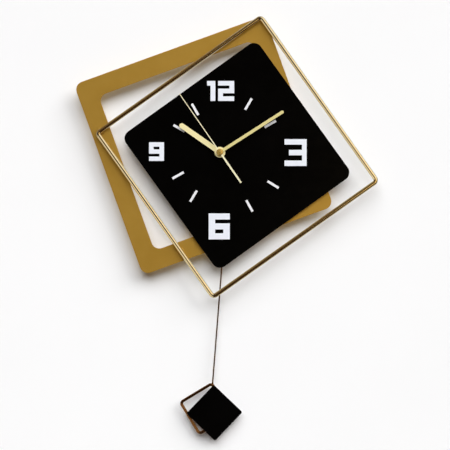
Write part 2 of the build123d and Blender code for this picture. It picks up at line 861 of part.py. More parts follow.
def hanging(depth):
    """The plane at a depth with its origin on the pivot, swung to the stored position."""
    return front(depth) * Pos(*pivot_place) * Rot(0, 0, -stored_swing)


def hung_slab(sketch, depth, thickness):
    return extrude(hanging(depth) * sketch, amount=thickness, dir=towards_viewer)


def hung_disc(below, radius, depth, thickness):
    return hung_slab(Pos(0, -below) * Circle(radius), depth, thickness)


def make_swing_arm():
    strip = rectangle(-arm_width / 2, arm_width / 2, -hook_below_pivot, 0)
    strip += Pos(0, -hook_below_pivot) * Circle(arm_width / 2)
    arm = hung_slab(strip, arm_depth, arm_sheet) + hung_disc(0, arm_hub_radius, arm_depth,
                                                             arm_hub_length)
    arm -= hung_disc(0, pivot_pin_radius + running_clearance, arm_depth, arm_hub_length)
    return arm - hung_disc(hook_below_pivot, hook_pin_radius, arm_depth, arm_sheet)


def make_arm_magnet():
    return hung_disc(magnet_below_pivot, arm_magnet_radius, arm_magnet_depth, arm_magnet_thickness)


def make_hook_pin():
    head_depth = arm_depth + arm_sheet + 2 * rod_radius + seating_clearance
    shank = hung_disc(hook_below_pivot, hook_pin_radius, arm_depth, head_depth - arm_depth)
    return shank + hung_disc(hook_below_pivot, hook_head_radius, head_depth, hook_head_thickness)


def bob_wire_plane():
    return (hanging(rod_depth) * Pos(*rod_end) * Pos(*bob_wire_from_rod_end)
            * Rot(0, 0, bob_wire_tilt))


def make_bob_wire():
    return wire_ring(bob_wire_plane(), bob_wire_side, bob_wire_bend, bob_wire_diameter / 2)


def make_pendulum_rod():
    """A straight rod with an eye at the top, coped onto the bob's wire at the bottom."""
    eye_radius = hook_pin_radius + seating_clearance + rod_radius
    eye = hanging(rod_depth) * Pos(0, -hook_below_pivot, 0) * Torus(eye_radius, rod_radius)
    top = hook_below_pivot + eye_radius
    middle = hanging(rod_depth) * Pos(0, -(top + rod_length) / 2, 0) * Rot(90, 0, 0)
    return eye + middle * Cylinder(rod_radius, rod_length - top) - make_bob_wire()


def make_bob_plate():
    place = Pos(*rod_end) * Pos(*bob_plate_from_rod_end) * Rot(0, 0, bob_plate_tilt)
    plate = RectangleRounded(bob_plate_side, bob_plate_side, bob_plate_corner)
    return hung_slab(place * plate, bob_plate_depth, bob_plate_thickness)


case_battery = (0.0, -case_side / 2 + case_wall + battery_bay_height / 2, case_side)
drive_battery = (pivot_place[0], drive_top - case_wall - battery_bay_height / 2, drive_width)

parts = {
    "dial_panel": make_dial_panel(),
    "numeral_twelve": make_numeral_twelve(),
    "numeral_three": block_digit(numeral_three, "open left", "open left", three_middle_inset),
    "numeral_six": block_digit(numeral_six, "open right", "closed"),
    "numeral_nine": block_digit(numeral_nine, "closed", "open left"),
    "hour_markers": make_hour_markers(),
    "rear_frame": make_rear_frame(),
    "wire_square": make_wire_square(),
    "weld_beads": make_weld_beads(),
    "dial_pads": make_dial_pads(),
    "hanger_bracket": make_hanger_bracket(),
    "rubber_washer": ring(rubber_washer_radius, bush_radius, case_depth + hanger_sheet,
                          rubber_washer_thickness),
    "nut_washer": ring(nut_washer_radius, bush_radius, dial_front_depth, nut_washer_thickness),
    "hex_nut": make_hex_nut(),
    "centre_bush": make_centre_bush(),
    "movement_case": make_movement_case(),
    "movement_cover": make_movement_cover(),
    "gear_plate": make_gear_plate(),
    "stator": make_stator(),
    "coil_bobbin": make_coil_bobbin(),
    "coil_winding": make_coil_winding(),
    "circuit_board": make_circuit_board(),
    "chip_cap": make_chip_cap(),
    "quartz_crystal": make_quartz_crystal(),
    "battery": make_battery(*case_battery),
    "battery_contacts": make_battery_contacts(*case_battery),
    "rotor_pinion": make_rotor_pinion(),
    "rotor_magnet": make_rotor_magnet(),
    "fifth_wheel": make_fifth_wheel(),
    "second_wheel": make_second_wheel(),
    "second_arbor": make_second_arbor(),
    "third_wheel": make_third_wheel(),
    "centre_wheel": make_centre_wheel(),
    "minute_pipe": make_minute_pipe(),
    "motion_wheel": make_motion_wheel(),
    "hour_wheel": make_hour_wheel(),
    "setting_knob": make_setting_knob(),
    "hour_hand": make_hour_hand(),
    "hour_collet": make_hour_collet(),
    "minute_hand": make_minute_hand(),
    "minute_collet": make_minute_collet(),
    "second_hand": make_second_hand(),
    "drive_case": make_drive_case(),
    "drive_cover": make_drive_cover(),
    "drive_pad": make_drive_pad(),
    "drive_board": make_drive_board(),
    "drive_coil": make_drive_coil(),
    "drive_battery": make_battery(*drive_battery),
    "drive_contacts": make_battery_contacts(*drive_battery),
    "pivot_pin": make_pivot_pin(),
    "swing_arm": make_swing_arm(),
    "arm_magnet": make_arm_magnet(),
    "hook_pin": make_hook_pin(),
    "pendulum_rod": make_pendulum_rod(),
    "bob_wire": make_bob_wire(),
    "bob_plate": make_bob_plate(),
}

os.makedirs("parts", exist_ok=True)
for name, shape in parts.items():
    export_step(shape, f"parts/{name}.step")
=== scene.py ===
import json
import math

import bmesh
import bpy
from mathutils import Matrix, Vector

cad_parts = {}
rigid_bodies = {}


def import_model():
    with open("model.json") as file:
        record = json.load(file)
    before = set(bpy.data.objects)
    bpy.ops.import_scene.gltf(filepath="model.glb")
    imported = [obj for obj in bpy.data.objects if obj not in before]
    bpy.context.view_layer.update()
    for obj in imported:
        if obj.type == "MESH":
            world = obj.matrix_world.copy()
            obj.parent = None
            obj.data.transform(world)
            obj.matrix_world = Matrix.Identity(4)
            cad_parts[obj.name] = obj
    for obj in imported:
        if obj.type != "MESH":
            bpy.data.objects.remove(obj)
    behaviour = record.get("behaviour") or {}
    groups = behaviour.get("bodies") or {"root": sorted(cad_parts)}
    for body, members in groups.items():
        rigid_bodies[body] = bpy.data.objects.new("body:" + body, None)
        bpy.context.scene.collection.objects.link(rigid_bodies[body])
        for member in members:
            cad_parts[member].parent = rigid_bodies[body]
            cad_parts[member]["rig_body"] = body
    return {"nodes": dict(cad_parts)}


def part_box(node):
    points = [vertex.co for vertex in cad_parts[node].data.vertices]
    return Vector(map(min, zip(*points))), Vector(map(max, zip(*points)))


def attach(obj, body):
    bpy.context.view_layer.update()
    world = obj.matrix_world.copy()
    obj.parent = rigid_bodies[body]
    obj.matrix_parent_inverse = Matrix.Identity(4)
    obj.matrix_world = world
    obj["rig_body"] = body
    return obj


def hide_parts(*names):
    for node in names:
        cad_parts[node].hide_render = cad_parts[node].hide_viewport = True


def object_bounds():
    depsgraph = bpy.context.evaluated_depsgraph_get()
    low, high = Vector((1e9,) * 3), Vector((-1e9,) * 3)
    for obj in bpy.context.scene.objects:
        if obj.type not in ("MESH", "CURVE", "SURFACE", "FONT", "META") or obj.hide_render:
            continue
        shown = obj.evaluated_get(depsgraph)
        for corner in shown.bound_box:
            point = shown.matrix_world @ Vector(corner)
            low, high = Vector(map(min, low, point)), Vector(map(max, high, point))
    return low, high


# Looks of the pendulum wall clock. Metres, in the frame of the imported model: +Z is up, the wall is
# the plane y = 0, and the clock hangs in front of it, towards -Y.

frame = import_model()
cad_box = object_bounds()
nodes = frame["nodes"]
scene = bpy.context.scene
mm = 0.001
towards_viewer = Vector((0, -1, 0))
along_x = Vector((1, 0, 0))

# Points nearer than this are one point, and faces that meet at less than this angle are one face.
same_place = 0.001 * mm
same_plane = math.radians(0.5)


def middle(node):
    """The middle of a CAD node's box."""
    low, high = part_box(node)
    return (low + high) / 2


# The hands turn about the line through this point, along Y.
axis = middle("centre_bush")


# ---- Finishes

def srgb(red, green, blue):
    """A screen colour, 0 to 255, as the linear colour that the shader takes."""
    def linear(value):
        value /= 255
        return value / 12.92 if value <= 0.04045 else ((value + 0.055) / 1.055) ** 2.4
    return (linear(red), linear(green), linear(blue), 1.0)


class Finish:
    """A material built up node by node round one Principled shader. Grain sizes are in metres."""

    def __init__(self, name, **constants):
        self.material = bpy.data.materials.new(name)
        self.material.use_nodes = True
        self.tree = self.material.node_tree
        self.shader = self.tree.nodes["Principled BSDF"]
        self.normal = None
        for words, value in constants.items():
            socket = next(s for s in self.shader.inputs if s.name.lower() == words.replace("_", " "))
            socket.default_value = value

    def node(self, kind, settings=None, inputs=None):
        made = self.tree.nodes.new(kind)
        for key, value in (settings or {}).items():
            setattr(made, key, value)
        for key, value in (inputs or {}).items():
            if isinstance(value, bpy.types.NodeSocket):
                self.tree.links.new(value, made.inputs[key])
            else:
                made.inputs[key].default_value = value
        return made

    def place(self, stretch, turn):
        """Coordinates that ride with the piece, turned and then stretched."""
        where = self.node("ShaderNodeTexCoord").outputs["Object"]
        turned = self.node("ShaderNodeMapping", inputs={"Vector": where, "Rotation": turn})
        settings = {"Vector": turned.outputs[0], "Scale": tuple(1 / share for share in stretch)}
        return self.node("ShaderNodeMapping", inputs=settings).outputs[0]

    def noise(self, size, detail=3.0, stretch=(1, 1, 1), turn=(0, 0, 0)):
        where = self.place(stretch, turn)
        settings = {"Vector": where, "Scale": 1 / size, "Detail": detail, "Roughness": 0.55}
        return self.node("ShaderNodeTexNoise", inputs=settings).outputs["Fac"]

    def ranged(self, value, low, high):
        """A noise's values, most of which lie between 0.3 and 0.7, spread from low to high."""
        settings = {"Value": value, "From Min": 0.3, "From Max": 0.7, "To Min": low, "To Max": high}
        return self.node("ShaderNodeMapRange", inputs=settings).outputs[0]

    def paint(self, first, second, size, **grain):
        """A base colour that drifts between two shades."""
        share = self.ranged(self.noise(size, **grain), 0.0, 1.0)
        mix = self.node("ShaderNodeMix", {"data_type": "RGBA"}, {0: share, 6: first, 7: second})
        self.tree.links.new(mix.outputs[2], self.shader.inputs["Base Color"])

    def roughen(self, low, high, size, **grain):
        """A roughness that drifts from low to high."""
        rough = self.ranged(self.noise(size, **grain), low, high)
        self.tree.links.new(rough, self.shader.inputs["Roughness"])

    def relief(self, height, size, **grain):
        """Bumps of the given height, added to those already there."""
        settings = {"Height": self.noise(size, **grain), "Distance": height}
        if self.normal:
            settings["Normal"] = self.normal
        self.normal = self.node("ShaderNodeBump", inputs=settings).outputs[0]
        self.tree.links.new(self.normal, self.shader.inputs["Normal"])


def satin_gold():
    """Gold powder coat on sheet steel."""
    finish = Finish("satin_gold", metallic=0.56)
    finish.paint(srgb(192, 150, 60), srgb(199, 157, 67), 40 * mm)
    finish.roughen(0.40, 0.47, 5 * mm)
    finish.relief(0.012 * mm, 0.7 * mm, detail=2.0)
    finish.relief(0.05 * mm, 9 * mm, detail=1.0)
    return finish.material


def polished_gold():
    """Gold-plated wire, with faint drawing marks."""
    finish = Finish("polished_gold", metallic=1.0)
    finish.paint(srgb(247, 229, 182), srgb(251, 234, 191), 15 * mm)
    finish.roughen(0.11, 0.16, 3 * mm)
    finish.relief(0.0012 * mm, 1.2 * mm, detail=2.0)
    return finish.material


def darker_wire_gold(dark, pale):
    """The pendulum's wires, in the wire's gold made darker."""
    finish = Finish("darker_wire_gold", metallic=1.0)
    finish.paint(srgb(*dark), srgb(*pale), 12 * mm)
    finish.roughen(0.17, 0.22, 3 * mm)
    finish.relief(0.0012 * mm, 1.2 * mm, detail=2.0)
    return finish.material


def turned_gold():
    """The hub's gold cap, turned on a lathe."""
    finish = Finish("turned_gold", metallic=0.6)
    finish.paint(srgb(206, 170, 84), srgb(216, 181, 96), 3 * mm)
    finish.roughen(0.24, 0.30, 1 * mm)
    finish.relief(0.004 * mm, 0.4 * mm)
    return finish.material


def hand_gold(turn, deep, pale):
    """Light gold, brushed along the hand."""
    finish = Finish("hand_gold", metallic=0.15)
    brushed = {"stretch": (0.06, 1, 1), "turn": turn}
    finish.paint(srgb(*deep), srgb(*pale), 6 * mm, **brushed)
    finish.roughen(0.34, 0.46, 1.5 * mm, **brushed)
    finish.relief(0.004 * mm, 1.5 * mm, **brushed)
    return finish.material


def brass():
    """Turned brass fittings."""
    finish = Finish("brass", metallic=1.0)
    finish.paint(srgb(196, 152, 70), srgb(206, 164, 84), 4 * mm)
    finish.roughen(0.22, 0.34, 0.8 * mm)
    finish.relief(0.006 * mm, 0.5 * mm)
    return finish.material


def black_acrylic():
    """Glossy black sheet, with the faint waves of a cast surface."""
    finish = Finish("black_acrylic", specular_ior_level=0.12)
    finish.paint(srgb(2, 2, 2), srgb(4, 4, 4), 60 * mm)
    finish.roughen(0.17, 0.23, 12 * mm)
    finish.relief(0.004 * mm, 1.2 * mm)
    return finish.material


def white_acrylic(clean, dull):
    """Satin white sheet."""
    finish = Finish("white_acrylic")
    finish.paint(srgb(*clean), srgb(*dull), 8 * mm)
    finish.roughen(0.28, 0.40, 2 * mm)
    finish.relief(0.004 * mm, 0.8 * mm)
    return finish.material


def zinc():
    """Zinc-plated steel, with its mottled grain."""
    finish = Finish("zinc", metallic=1.0)
    finish.paint(srgb(176, 180, 186), srgb(198, 201, 206), 3 * mm, detail=5.0)
    finish.roughen(0.28, 0.45, 1.5 * mm)
    finish.relief(0.006 * mm, 0.4 * mm)
    return finish.material


def moulded_black():
    """Injection-moulded plastic with a fine spark-eroded grain."""
    finish = Finish("moulded_black")
    finish.paint(srgb(26, 26, 28), srgb(32, 32, 34), 12 * mm)
    finish.roughen(0.46, 0.62, 2 * mm)
    finish.relief(0.02 * mm, 0.35 * mm, detail=2.0)
    return finish.material


def rubber():
    """Matt black rubber."""
    finish = Finish("rubber")
    finish.paint(srgb(24, 24, 24), srgb(34, 33, 32), 3 * mm)
    finish.roughen(0.7, 0.9, 1 * mm)
    finish.relief(0.03 * mm, 0.5 * mm)
    return finish.material


def foam():
    """White closed-cell foam tape."""
    finish = Finish("foam")
    finish.paint(srgb(214, 214, 210), srgb(232, 232, 228), 1.5 * mm)
    finish.roughen(0.8, 0.95, 1 * mm)
    finish.relief(0.12 * mm, 0.5 * mm, detail=4.0)
    return finish.material


def acetal():
    """White gear plastic, which lets a little light in."""
    finish = Finish("acetal", subsurface_weight=0.08, subsurface_scale=0.5 * mm)
    finish.paint(srgb(226, 226, 218), srgb(234, 234, 228), 3 * mm)
    finish.roughen(0.34, 0.44, 1 * mm)
    finish.relief(0.005 * mm, 0.4 * mm)
    return finish.material


def copper():
    """Enamelled copper wire."""
    finish = Finish("copper", metallic=1.0)
    finish.paint(srgb(186, 96, 52), srgb(206, 118, 70), 1 * mm)
    finish.roughen(0.25, 0.38, 0.6 * mm)
    finish.relief(0.01 * mm, 0.2 * mm)
    return finish.material


def board():
    """Circuit board under green solder resist."""
    finish = Finish("board")
    finish.paint(srgb(22, 84, 46), srgb(30, 98, 56), 2 * mm)
    finish.roughen(0.3, 0.42, 1 * mm)
    finish.relief(0.01 * mm, 0.6 * mm)
    return finish.material


def cell_sleeve():
    """The plain shrink sleeve of a battery."""
    finish = Finish("cell_sleeve", metallic=0.2)
    finish.paint(srgb(70, 96, 84), srgb(78, 106, 92), 10 * mm)
    finish.roughen(0.25, 0.35, 3 * mm)
    finish.relief(0.008 * mm, 2 * mm)
    return finish.material


def ferrite():
    """Sintered magnet."""
    finish = Finish("ferrite", metallic=0.4)
    finish.paint(srgb(52, 52, 56), srgb(66, 66, 70), 1 * mm)
    finish.roughen(0.4, 0.6, 0.6 * mm)
    finish.relief(0.02 * mm, 0.3 * mm)
    return finish.material


def hand_turn(node):
    """The turn that lays a hand's length along X in its material."""
    far = max((v.co for v in nodes[node].data.vertices), key=lambda p: p.x ** 2 + (p.z - axis.z) ** 2)
    return (0, math.atan2(far.z - axis.z, far.x - axis.x), 0)


finishes = {
    "dial_black": black_acrylic(),
    "marking_white": white_acrylic((240, 244, 252), (236, 240, 249)),
    "frame_gold": satin_gold(),
    "wire_gold": polished_gold(),
    "brass_fitting": brass(),
    "zinc_steel": zinc(),
    "black_rubber": rubber(),
    "foam_pad": foam(),
    "case_black": moulded_black(),
    "gear_white": acetal(),
    "copper_wire": copper(),
    "board_green": board(),
    "cell_jacket": cell_sleeve(),
    "magnet_dark": ferrite(),
}
# The deep and the pale shade of each hand
hand_colours = {
    "hour_hand": ((250, 237, 176), (254, 243, 190)),
    "minute_hand": ((225, 212, 143), (232, 221, 157)),
    "second_hand": ((245, 239, 198), (250, 245, 210)),
}
for name, piece in nodes.items():
    slot = piece.material_slots[0]
    if slot.name == "hand_gold":
        slot.material = hand_gold(hand_turn(name), *hand_colours[name])
    else:
        slot.material = finishes[slot.name]
nodes["hour_markers"].material_slots[0].material = white_acrylic((241, 241, 245), (237, 237, 241))
# The rod and the bob's wire take the wire's gold made darker
nodes["pendulum_rod"].material_slots[0].material = darker_wire_gold((122, 88, 52), (132, 97, 60))
nodes["bob_wire"].material_slots[0].material = darker_wire_gold((134, 94, 54), (146, 104, 62))


# ---- Shapes

def finished_mesh(name, work, sharp):
    """The mesh of a finished bmesh, smooth except across edges sharper than the given angle."""
    bmesh.ops.remove_doubles(work, verts=work.verts, dist=same_place)
    bmesh.ops.recalc_face_normals(work, faces=work.faces)
    mesh = bpy.data.meshes.new(name)
    work.to_mesh(mesh)
    work.free()
    mesh.shade_smooth()
    mesh.set_sharp_from_angle(angle=math.radians(sharp))
    return mesh


def add_piece(name, work, stands_for, like=None, slot=None, finish=None, sharp=35):
    """A piece that stands for a CAD node and takes its body and finish, or those of another node."""
    node = like or stands_for
    mesh = finished_mesh(name, work, sharp)
    if slot and not finish:
        finish = finishes[slot]
    mesh.materials.append(finish or nodes[node].material_slots[0].material)
    piece = bpy.data.objects.new(name, mesh)
    scene.collection.objects.link(piece)
    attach(piece, nodes[node]["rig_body"])
    if stands_for:
        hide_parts(stands_for)


def ring(work, hub, side, up, radius, steps):
    """A circle of points round a hub."""
    turns = [2 * math.pi * step / steps for step in range(steps)]
    return [work.verts.new(hub + (side * math.cos(t) + up * math.sin(t)) * radius) for t in turns]


def skin(work, first, second):
    """Faces between two rings of points, either of which may be a single point."""
    count = max(len(first), len(second))
    for step in range(count):
        after = (step + 1) % count
        corners = [first[step % len(first)], first[after % len(first)],
                   second[after % len(second)], second[step % len(second)]]
        work.faces.new(list(dict.fromkeys(corners)))


def lathe(profile, base, along, steps=48, closed=False):
    """A profile of (radius, distance) pairs turned about a line."""
    work = bmesh.new()
    along = along.normalized()
    side = along.orthogonal().normalized()
    up = along.cross(side)
    rings = []
    for radius, distance in profile:
        rings.append(ring(work, base + along * distance, side, up, radius, steps if radius else 1))
    for first, second in zip(rings, rings[1:] + (rings[:1] if closed else [])):
        skin(work, first, second)
    return work


def tube(path, radius, closed=False, sides=16):
    """Round wire along a path. An open tube has domed ends."""
    work = bmesh.new()
    count = len(path)
    rings = []
    side = None
    for step, point in enumerate(path):
        before = path[step - 1] if closed or step else point
        after = path[(step + 1) % count] if closed or step < count - 1 else point
        along = (after - before).normalized()
        side = (side - along * side.dot(along)).normalized() if side else along.orthogonal().normalized()
        up = along.cross(side)
        for share, shift in dome_steps(step, count, closed):
            rings.append(ring(work, point + along * shift * radius, side, up, radius * share, sides))
    for first, second in zip(rings, rings[1:] + (rings[:1] if closed else [])):
        skin(work, first, second)
    if not closed:
        work.faces.new(rings[0])
        work.faces.new(rings[-1])
    return work


def dome_steps(step, count, closed):
    """Shares of the radius, and how far along, of the rings at one point of a tube."""
    if closed or 0 < step < count - 1:
        return [(1, 0)]
    turns = [math.radians(angle) for angle in (80, 60, 35, 0)]
    if step == 0:
        return [(math.cos(t), -math.sin(t)) for t in turns]
    return [(math.cos(t), math.sin(t)) for t in reversed(turns)]


def ease(work, edges, width, segments=2):
    """Rounds the given edges."""
    bmesh.ops.bevel(work, geom=edges, offset=width, segments=segments, profile=0.5, affect="EDGES")


def ease_sharp(work, width, angle):
    """Rounds the edges at which two faces meet at more than an angle in degrees."""
    edges = [e for e in work.edges if e.is_manifold and e.calc_face_angle() > math.radians(angle)]
    ease(work, edges, width)


def block(low, high, rounding):
    """A box with rounded edges."""
    work = bmesh.new()
    bmesh.ops.create_cube(work, size=1.0, matrix=Matrix.LocRotScale((low + high) / 2, None, high - low))
    ease(work, list(work.edges), rounding)
    return work


def islands(node):
    """The points of each separate solid in a node."""
    work = bmesh.new()
    work.from_mesh(nodes[node].data)
    bmesh.ops.remove_doubles(work, verts=work.verts, dist=same_place)
    left = set(work.verts)
    groups = []
    while left:
        group = set()
        front = [left.pop()]
        while front:
            point = front.pop()
            group.add(point)
            near = {edge.other_vert(point) for edge in point.link_edges} & left
            left -= near
            front.extend(near)
        groups.append([point.co.copy() for point in group])
    work.free()
    return groups


def run_direction(points):
    """The direction in which a flat group of points is longest."""
    mean = sum(points, Vector()) / len(points)
    xx = sum((p.x - mean.x) ** 2 for p in points)
    zz = sum((p.z - mean.z) ** 2 for p in points)
    xz = sum((p.x - mean.x) * (p.z - mean.z) for p in points)
    angle = math.atan2(2 * xz, xx - zz) / 2
    return Vector((math.cos(angle), 0, math.sin(angle)))


def span_along(points, direction):
    """Where a group of points starts and ends along a direction."""
    reach = [p.dot(direction) for p in points]
    return min(reach), max(reach)


def box_of(points):
    """The lowest and the highest corner round a group of points."""
    low = Vector([min(p[way] for p in points) for way in range(3)])
    high = Vector([max(p[way] for p in points) for way in range(3)])
    return low, high


def copy_of(node):
    """A copy of a CAD node to work on, with its flat faces whole."""
    work = bmesh.new()
    work.from_mesh(nodes[node].data)
    bmesh.ops.remove_doubles(work, verts=work.verts, dist=same_place)
    bmesh.ops.dissolve_limit(work, angle_limit=same_plane, verts=work.verts, edges=work.edges)
    return work


# ---- Rounded edges of the CAD nodes

def soften(node, width):
    """Rounds a CAD node's sharp edges by modifiers, which leave its own mesh as it is."""
    piece = nodes[node]
    piece.data.shade_smooth()
    weld = piece.modifiers.new("weld", "WELD")
    weld.merge_threshold = same_place
    flat = piece.modifiers.new("flat", "DECIMATE")
    flat.decimate_type = "DISSOLVE"
    flat.angle_limit = same_plane
    bevel = piece.modifiers.new("bevel", "BEVEL")
    bevel.width = width
    bevel.segments = 3
    bevel.limit_method = "ANGLE"
    bevel.angle_limit = math.radians(30)
    normals = piece.modifiers.new("normals", "WEIGHTED_NORMAL")
    normals.keep_sharp = False


# How far each CAD node's edges are rounded, in millimetres
edge_rounds = {
    "dial_panel": 0.5, "rear_frame": 0.35, "bob_plate": 0.4, "rubber_washer": 0.3, "dial_pads": 0.3,
    "numeral_twelve": 0.15, "numeral_three": 0.15, "numeral_six": 0.15, "numeral_nine": 0.15,
    "hour_markers": 0.15, "hour_hand": 0.12, "minute_hand": 0.12, "hour_collet": 0.2,
    "minute_collet": 0.2, "nut_washer": 0.1, "movement_case": 0.5, "drive_case": 0.5,
    "setting_knob": 0.12, "swing_arm": 0.3, "hook_pin": 0.15, "drive_pad": 0.3, "gear_plate": 0.1,
    "drive_board": 0.08, "circuit_board": 0.08,
}
for node, width in edge_rounds.items():
    soften(node, width * mm)


# ---- Wires

def side_turn(node):
    """How far a square wire's sides are turned, from the long edges of its mesh."""
    points = nodes[node].data.vertices
    spans = [points[e.vertices[1]].co - points[e.vertices[0]].co for e in nodes[node].data.edges]
    longest = max(span.length for span in spans)
    level = [span for span in spans if span.length > 0.9 * longest and abs(span.y) < same_place]
    turns = [math.atan2(span.z, span.x) % (math.pi / 2) for span in level]
    return sum(turns) / len(turns)


def square_wire(node, bend):
    """Smooth round wire bent into a square, where the CAD wire lies."""
    low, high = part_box(node)
    radius = (high.y - low.y) / 2
    turn = side_turn(node)
    reach = ((high.x - low.x) / 2 - bend - radius) / (math.cos(turn) + math.sin(turn))
    path = []
    steps = 10
    for corner in range(4):
        quarter = turn + corner * math.pi / 2
        outward = quarter + math.pi / 4
        start = reach * math.sqrt(2)
        pivot = middle(node) + start * Vector((math.cos(outward), 0, math.sin(outward)))
        for step in range(steps + 1):
            angle = quarter + step / steps * math.pi / 2
            path.append(pivot + bend * Vector((math.cos(angle), 0, math.sin(angle))))
    add_piece(node + "_smooth", tube(path, radius, closed=True, sides=24), node)


def make_rod():
    """The rod's wire runs up to the hook and round it in an eye. A drop of weld joins it to the bob."""
    low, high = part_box("pendulum_rod")
    radius = (high.y - low.y) / 2
    hook = middle("hook_pin")
    hook.y = (low.y + high.y) / 2
    eye = high.z - hook.z - radius
    down = hook - middle("pivot_pin")
    down.y = 0
    down.normalize()
    across = Vector((-down.z, 0, down.x))
    length = (hook.z - low.z) / -down.z
    path = [hook + down * length, hook + down * (eye + 5 * radius), hook + down * (eye + 2.5 * radius)]
    for angle in range(20, 341, 20):
        turned = math.radians(angle)
        path.append(hook + (down * math.cos(turned) + across * math.sin(turned)) * eye)
    add_piece("rod_and_eye", tube(path, radius), "pendulum_rod")
    half = 2.2 * radius
    widest = 1.45 * radius
    shares = (-0.98, -0.9, -0.7, -0.4, 0, 0.4, 0.7, 0.9, 0.98)
    profile = [(widest * math.sqrt(1 - share ** 2), half * share) for share in shares]
    drop = lathe([(0, -half)] + profile + [(0, half)], path[0], down, steps=20)
    add_piece("rod_joint", drop, None, like="pendulum_rod")


def make_weld_beads():
    """Each bead is a row of overlapping ripples in the groove between the wire and the frame."""
    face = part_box("rear_frame")[0].y
    pitch = 1.1 * mm
    steps = 40
    for number, points in enumerate(islands("weld_beads")):
        along = run_direction(points)
        across = Vector((-along.z, 0, along.x))
        start, end = span_along(points, along)
        left, right = span_along(points, across)
        radius = (right - left) / 2
        centre = along * (start + end) / 2 + across * (left + right) / 2
        centre.y = face - 0.25 * radius
        half = (end - start) / 2 + 0.4 * radius
        profile = [(0, -half)]
        for step in range(1, steps):
            distance = half * (2 * step / steps - 1)
            ripple = 1 + 0.07 * math.cos(2 * math.pi * distance / pitch)
            blunt_end = (1 - (distance / half) ** 2) ** 0.35
            profile.append((radius * ripple * blunt_end, distance))
        work = lathe(profile + [(0, half)], centre, along, steps=20)
        add_piece(f"weld_bead_{number + 1}", work, "weld_beads", finish=finishes["frame_gold"])


square_wire("wire_square", bend=5.5 * mm)
square_wire("bob_wire", bend=4.8 * mm)
make_rod()
make_weld_beads()


# ---- Hands and hub

def make_second_hand():
    """A needle that widens towards its tail."""
    points = [v.co for v in nodes["second_hand"].data.vertices]
    length = max(math.hypot(p.x - axis.x, p.z - axis.z) for p in points)
    tips = [p - axis for p in points if math.hypot(p.x - axis.x, p.z - axis.z) > 0.99 * length]
    along = sum(tips, Vector())
    along.y = 0
    along.normalize()
    across = Vector((-along.z, 0, along.x))
    tail = -min((p - axis).dot(along) for p in points)
    thin = max(abs((p - axis).dot(across)) for p in points if (p - axis).dot(along) > 0.5 * length)
    wide = max(abs((p - axis).dot(across)) for p in points if (p - axis).dot(along) < -0.5 * tail)
    back = max(p.y for p in points if (p - axis).dot(along) > 0.5 * length)
    sheet = 0.5 * mm
    halves = ((-tail, wide), (-8 * mm, wide), (0, 1.15 * thin), (0.6 * length, thin), (length, 0.85 * thin))
    corners = [(1, 1), (1, -1), (-1, -1), (-1, 1)]
    work = bmesh.new()
    sections = []
    for reach, half in halves:
        place = Vector((axis.x, back - sheet / 2, axis.z)) + along * reach
        sections.append([work.verts.new(place + across * half * side + towards_viewer * sheet / 2 * face)
                         for side, face in corners])
    for first, second in zip(sections, sections[1:]):
        skin(work, first, second)
    work.faces.new(sections[0])
    work.faces.new(sections[-1])
    ease_sharp(work, 0.1 * mm, 60)
    add_piece("second_needle", work, "second_hand")


def make_cap():
    """The domed cap that hides the hub."""
    points = [v.co for v in nodes["second_hand"].data.vertices]
    front = min(p.y for p in points)
    back = max(p.y for p in points)
    near_hub = [math.hypot(p.x - axis.x, p.z - axis.z) for p in points if p.y < front + 0.8 * mm]
    radius = max(near_hub)
    rise = back - front
    flat = 0.12 * radius
    dome = 0.75 * rise
    steps = 8
    profile = [(0, rise)]
    for step in range(1, steps + 1):
        angle = math.radians(step * 90 / steps)
        profile.append((flat + (radius - flat) * math.sin(angle), rise - dome * (1 - math.cos(angle))))
    profile += [(radius, 0.1 * rise), (radius * 0.97, 0), (flat, 0)]
    work = lathe(profile, Vector((axis.x, back, axis.z)), towards_viewer)
    add_piece("second_cap", work, "second_hand", slot="wire_gold", finish=turned_gold())


def make_nut():
    """A hexagon nut with its corners chamfered on both faces."""
    low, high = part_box("hex_nut")
    half_flats = (high.z - low.z) / 2
    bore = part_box("centre_bush")[1].x - axis.x
    chamfer_slope = 0.5
    work = bmesh.new()
    rings = [[] for place in range(6)]
    steps = 72
    for step in range(steps):
        angle = 2 * math.pi * step / steps
        way = Vector((math.cos(angle), 0, math.sin(angle)))
        off_flat = (angle - math.pi / 2 + math.pi / 6) % (math.pi / 3) - math.pi / 6
        corner = half_flats / math.cos(off_flat)
        drop = (corner - half_flats) * chamfer_slope
        places = [(half_flats, high.y), (corner, high.y - drop), (corner, low.y + drop),
                  (half_flats, low.y), (bore, low.y), (bore, high.y)]
        for points, (radius, depth) in zip(rings, places):
            points.append(work.verts.new(Vector((axis.x, depth, axis.z)) + way * radius))
    for first, second in zip(rings, rings[1:] + rings[:1]):
        skin(work, first, second)
    add_piece("chamfered_nut", work, "hex_nut", sharp=25)


def make_bush():
    """The threaded bush through the dial, with thread rings from the case to its front end."""
    low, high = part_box("centre_bush")
    radius = (high.x - low.x) / 2
    bore = 2.55 * mm
    pitch = 0.75 * mm
    groove = 0.35 * mm
    plain = 0.8 * mm
    chamfer = 0.4 * mm
    length = high.y - low.y
    count = int((length - plain - chamfer) / pitch)
    profile = [(bore, 0), (radius, 0), (radius, plain)]
    for turn in range(count):
        start = plain + turn * pitch
        profile += [(radius, start + 0.1 * pitch), (radius - groove, start + 0.5 * pitch),
                    (radius, start + 0.9 * pitch)]
    profile += [(radius - chamfer, length), (bore, length)]
    work = lathe(profile, Vector((axis.x, high.y, axis.z)), towards_viewer, closed=True)
    add_piece("threaded_bush", work, "centre_bush", sharp=25)


make_second_hand()
make_cap()
make_nut()
make_bush()


# ---- Hanger, batteries and what else shows from behind

